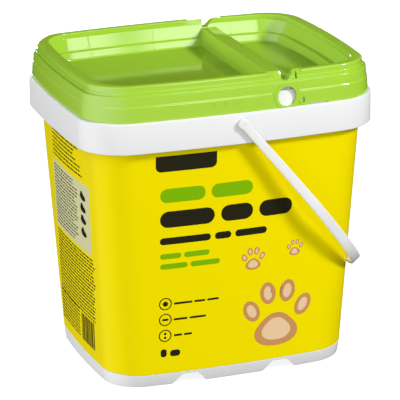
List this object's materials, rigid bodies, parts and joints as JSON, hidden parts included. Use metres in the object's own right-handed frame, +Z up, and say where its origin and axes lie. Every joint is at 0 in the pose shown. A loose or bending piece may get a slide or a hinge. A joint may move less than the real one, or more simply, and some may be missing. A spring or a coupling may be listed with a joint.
{
  "type": "litter pail",
  "caption": "Rectangular plastic pail with a press-on lid, recessed lid top, wrap label and a swinging strap handle, filled with clumping granules.",
  "frame": {"origin": "on the ground under the middle of the pail and its handle", "axes": "+Z up, X along the long side with the hinge band and the hanging handle at +X, front face at -Y"},
  "size_m": [0.255, 0.2104, 0.2603],
  "materials": {
    "white_plastic": "satin",
    "green_plastic": "satin, slightly see-through",
    "strap_plastic": "satin",
    "label_film": "printed, satin",
    "granules": "dull grains"
  },
  "bodies": {
    "pail": {"pail": "white_plastic", "lid": "green_plastic", "wall_label": "label_film", "litter": "granules"},
    "handle": {"handle": "strap_plastic"}
  },
  "joints": [
    {"name": "handle_swing", "type": "hinge", "parent": "pail", "child": "handle", "pos_m": [0, 0, 0.2234], "axis": [0, -1, 0], "range_deg": [0, 282]}
  ]
}
